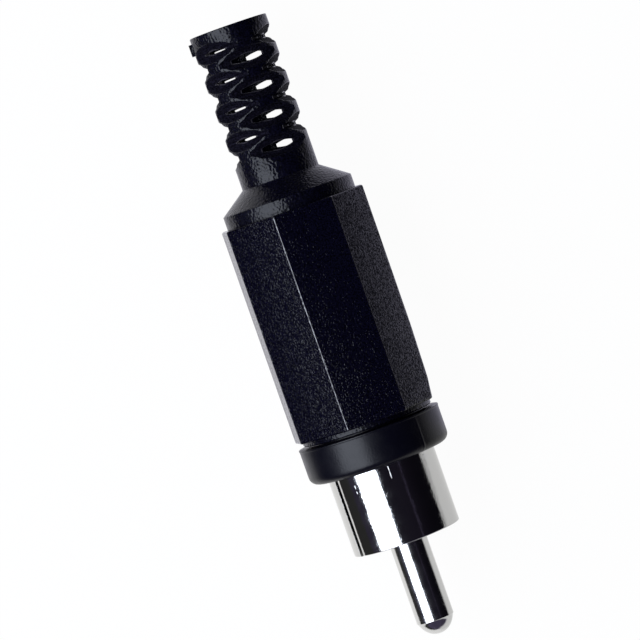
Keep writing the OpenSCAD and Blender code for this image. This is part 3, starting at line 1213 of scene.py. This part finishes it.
# The softbox: length, width, colour, direction from the plug and distance
SOFTBOX_SIZE = (0.5, 0.3)
SOFTBOX_TINT = (0.823, 0.885, 1.0)
SOFTBOX_SIDE = (0, -0.725, 0.688)
SOFTBOX_DISTANCE = 0.35


def shader(tree, kind, **values):
    """The output of a shader node of that kind."""
    return add_node(tree, "ShaderNode" + kind, values).outputs[0]


def mixed(tree, factor, first, second):
    """Mixes two shaders."""
    values = {0: factor, 1: first, 2: second}
    return add_node(tree, "ShaderNodeMixShader", values).outputs[0]


def blend(tree, factor, first, second):
    """Blends two colours."""
    values = {"Factor": factor, 4: first, 5: second}
    return add_node(tree, "ShaderNodeMix", values, data_type="VECTOR").outputs[1]


def light_path(tree):
    """Sockets that tell which kind of ray asks."""
    return tree.nodes.new("ShaderNodeLightPath").outputs


def seen_rays(tree):
    """One for camera rays and for rays through glass."""
    rays = light_path(tree)
    return math_node(tree, "MAXIMUM", rays["Is Camera Ray"], rays["Is Transmission Ray"])


def stage_floor(settings):
    """The plain pale floor, which glows white to the camera and keeps a faint shadow."""
    bm = bmesh.new()
    bmesh.ops.create_grid(bm, x_segments=1, y_segments=1, size=2.0)
    floor = new_piece("floor", bm)
    floor.location.z = FLOOR_Z
    material, tree = new_material("pale_floor")
    _, axes = place_of(tree)
    matt = shader(tree, "BsdfDiffuse", Color=FLOOR_GREY)
    seen = mixed(tree, SHADOW, shader(tree, "Emission", Strength=settings.backdrop), matt)
    lit = scaled(
        tree,
        ramp_node(tree, axes["Y"], *LIT_LEFT),
        ramp_node(tree, axes["X"], *LIT_REAR),
    )
    lit = scaled(tree, lit, ramp_node(tree, axes["Y"], *LIT_DIMMER))
    outward = math_node(tree, "ABSOLUTE", axes["Y"])
    forward = math_node(tree, "SUBTRACT", axes["X"], scaled(tree, outward, PLASTIC_LEAN))
    beside = ramp_node(tree, forward, *PLASTIC_END)
    beyond = scaled(tree, beside, ramp_node(tree, axes["Y"], *LIT_FAR))
    lit = scaled(tree, lit, rest_of(tree, scaled(tree, beyond, FAR_LOSS)))
    bluish = scaled(tree, beside, ramp_node(tree, axes["Y"], *BLUISH))
    reflected = shader(
        tree,
        "Emission",
        Strength=ramp_node(tree, lit, 0.0, 1.0, *LIT_RANGE),
        Color=blend(tree, bluish, (1.0, 1.0, 1.0), BLUISH_TINT),
    )
    other = mixed(tree, light_path(tree)["Is Glossy Ray"], matt, reflected)
    whole = mixed(tree, seen_rays(tree), other, seen)
    add_node(tree, "ShaderNodeOutputMaterial", {"Surface": whole})
    floor.data.materials.append(material)


def room_brightness(tree, angle):
    """How bright the dark room is in each direction about the plug's axis."""
    node = tree.nodes.new("ShaderNodeFloatCurve")
    curve = node.mapping.curves[0]
    low, high = ROOM[0][0], ROOM[-1][0]
    places = [((turned - low) / (high - low), value) for turned, value in ROOM]
    curve.points[0].location = places[0]
    curve.points[1].location = places[-1]
    for place in places[1:-1]:
        curve.points.new(*place)
    node.mapping.update()
    span = ramp_node(tree, angle, math.radians(low), math.radians(high))
    span.node.interpolation_type = "LINEAR"
    tree.links.new(span, node.inputs["Value"])
    turned, half, bright = ROOM_STRIP
    middle, half = math.radians(turned), math.radians(half)
    strip = within(tree, angle, middle - half, middle + half, half / 2)
    return added(tree, node.outputs[0], scaled(tree, strip, bright))


def stage_world(settings):
    """A dark room for reflections with a white strip low on one side, white to the camera."""
    world = bpy.data.worlds.new("studio")
    bpy.context.scene.world = world
    tree = cleared_tree(world)
    _, axes = place_of(tree, "Generated")
    low = ramp_node(tree, axes["Z"], *LOW_STRIP_TOP)
    right = ramp_node(tree, axes["Y"], *LOW_STRIP_SIDE)
    strip_glow = scaled(tree, scaled(tree, low, right), LOW_STRIP_GLOW)
    strip = shader(tree, "Background", Strength=strip_glow)
    ahead = ramp_node(tree, axes["X"], *ROOM_AHEAD)
    around = room_brightness(tree, turn_of(tree, axes))
    room_glow = added(tree, around, ahead)
    room = shader(tree, "Background", Strength=room_glow, Color=(*ROOM_TINT, 1.0))
    mirrored = add_node(tree, "ShaderNodeAddShader", {0: strip, 1: room}).outputs[0]
    backdrop = shader(tree, "Background", Strength=settings.backdrop)
    whole = mixed(tree, seen_rays(tree), mirrored, backdrop)
    add_node(tree, "ShaderNodeOutputWorld", {"Surface": whole})


def stage_softbox(settings):
    """The softbox that gives the white stripe along the metal."""
    lamp = bpy.data.lights.new("softbox", "AREA")
    lamp.shape = "RECTANGLE"
    lamp.size, lamp.size_y = SOFTBOX_SIZE
    lamp.energy = settings.softbox_power
    lamp.color = SOFTBOX_TINT
    holder = bpy.data.objects.new("softbox", lamp)
    bpy.context.scene.collection.objects.link(holder)
    direction = Vector(SOFTBOX_SIDE).normalized()
    along = Vector((1, 0, 0))
    place = Matrix((along, direction.cross(along), direction)).transposed().to_4x4()
    place.translation = Vector((settings.aim, 0, 0)) + direction * SOFTBOX_DISTANCE
    holder.matrix_world = place
    holder.visible_camera = False


def stage_camera(settings):
    """The camera, which looks down on the plug with the pin towards the lower right."""
    side, tip, roll = settings.side_turn, settings.tip, settings.roll
    away = Vector((0, -math.sin(side), math.cos(side))) * math.cos(tip)
    away.x = -math.sin(tip)
    along = (Vector((1, 0, 0)) - away * away.x).normalized()
    aside = away.cross(along)
    right = aside * math.cos(roll) + along * math.sin(roll)
    up = aside * math.sin(roll) - along * math.cos(roll)
    place = Matrix((right, up, away)).transposed().to_4x4()
    target = Vector((settings.aim, 0, 0)) + aside * settings.aim_side
    place.translation = target + away * settings.distance
    camera = bpy.data.cameras.new("camera")
    camera.lens = settings.lens
    camera.sensor_width = 36.0
    camera.clip_start = 0.01
    holder = bpy.data.objects.new("camera", camera)
    bpy.context.scene.collection.objects.link(holder)
    holder.matrix_world = place
    bpy.context.scene.camera = holder


class PLUG_OT_stage(bpy.types.Operator):
    """Make the floor, the backdrop, the softbox and the camera"""

    bl_idname = "plug.stage"
    bl_label = "Stage"

    def execute(self, context):
        settings = context.scene.plug_stage
        stage_floor(settings)
        stage_world(settings)
        stage_softbox(settings)
        stage_camera(settings)
        context.scene.view_settings.view_transform = "Standard"
        return {"FINISHED"}


class PLUG_PT_pieces(bpy.types.Panel):
    """Lists the plug's pieces and its stage"""

    bl_idname = "PLUG_PT_pieces"
    bl_label = "Phono plug"
    bl_space_type = "VIEW_3D"
    bl_region_type = "UI"
    bl_category = "Plug"

    def draw(self, context):
        for maker in MAKERS:
            self.layout.operator(maker.bl_idname)
        for group in SETTINGS:
            box = self.layout.box()
            owner = getattr(context.scene, group)
            for name in owner.bl_rna.properties.keys():
                if name not in ("rna_type", "name"):
                    box.prop(owner, name)


MAKERS = (
    PLUG_OT_stage,
    PLUG_OT_handle,
    PLUG_OT_collar,
    PLUG_OT_thread,
    PLUG_OT_shell,
    PLUG_OT_pin,
    PLUG_OT_clamp,
)
SETTINGS = {
    "plug_handle": HandleSettings,
    "plug_collar": CollarSettings,
    "plug_contacts": ContactSettings,
    "plug_stage": StageSettings,
}


def register():
    """Registers the settings, the operators and the panel."""
    for name, group in SETTINGS.items():
        bpy.utils.register_class(group)
        setattr(bpy.types.Scene, name, bpy.props.PointerProperty(type=group))
    for maker in MAKERS:
        bpy.utils.register_class(maker)
    bpy.utils.register_class(PLUG_PT_pieces)


def unregister():
    """Takes back what register did."""
    bpy.utils.unregister_class(PLUG_PT_pieces)
    for maker in reversed(MAKERS):
        bpy.utils.unregister_class(maker)
    for name, group in SETTINGS.items():
        delattr(bpy.types.Scene, name)
        bpy.utils.unregister_class(group)


def main():
    """Makes every piece and the stage."""
    register()
    bpy.ops.plug.stage()
    bpy.ops.plug.handle()
    bpy.ops.plug.collar()
    bpy.ops.plug.thread()
    bpy.ops.plug.shell()
    bpy.ops.plug.pin()
    bpy.ops.plug.clamp()


if __name__ == "__main__":
    main()
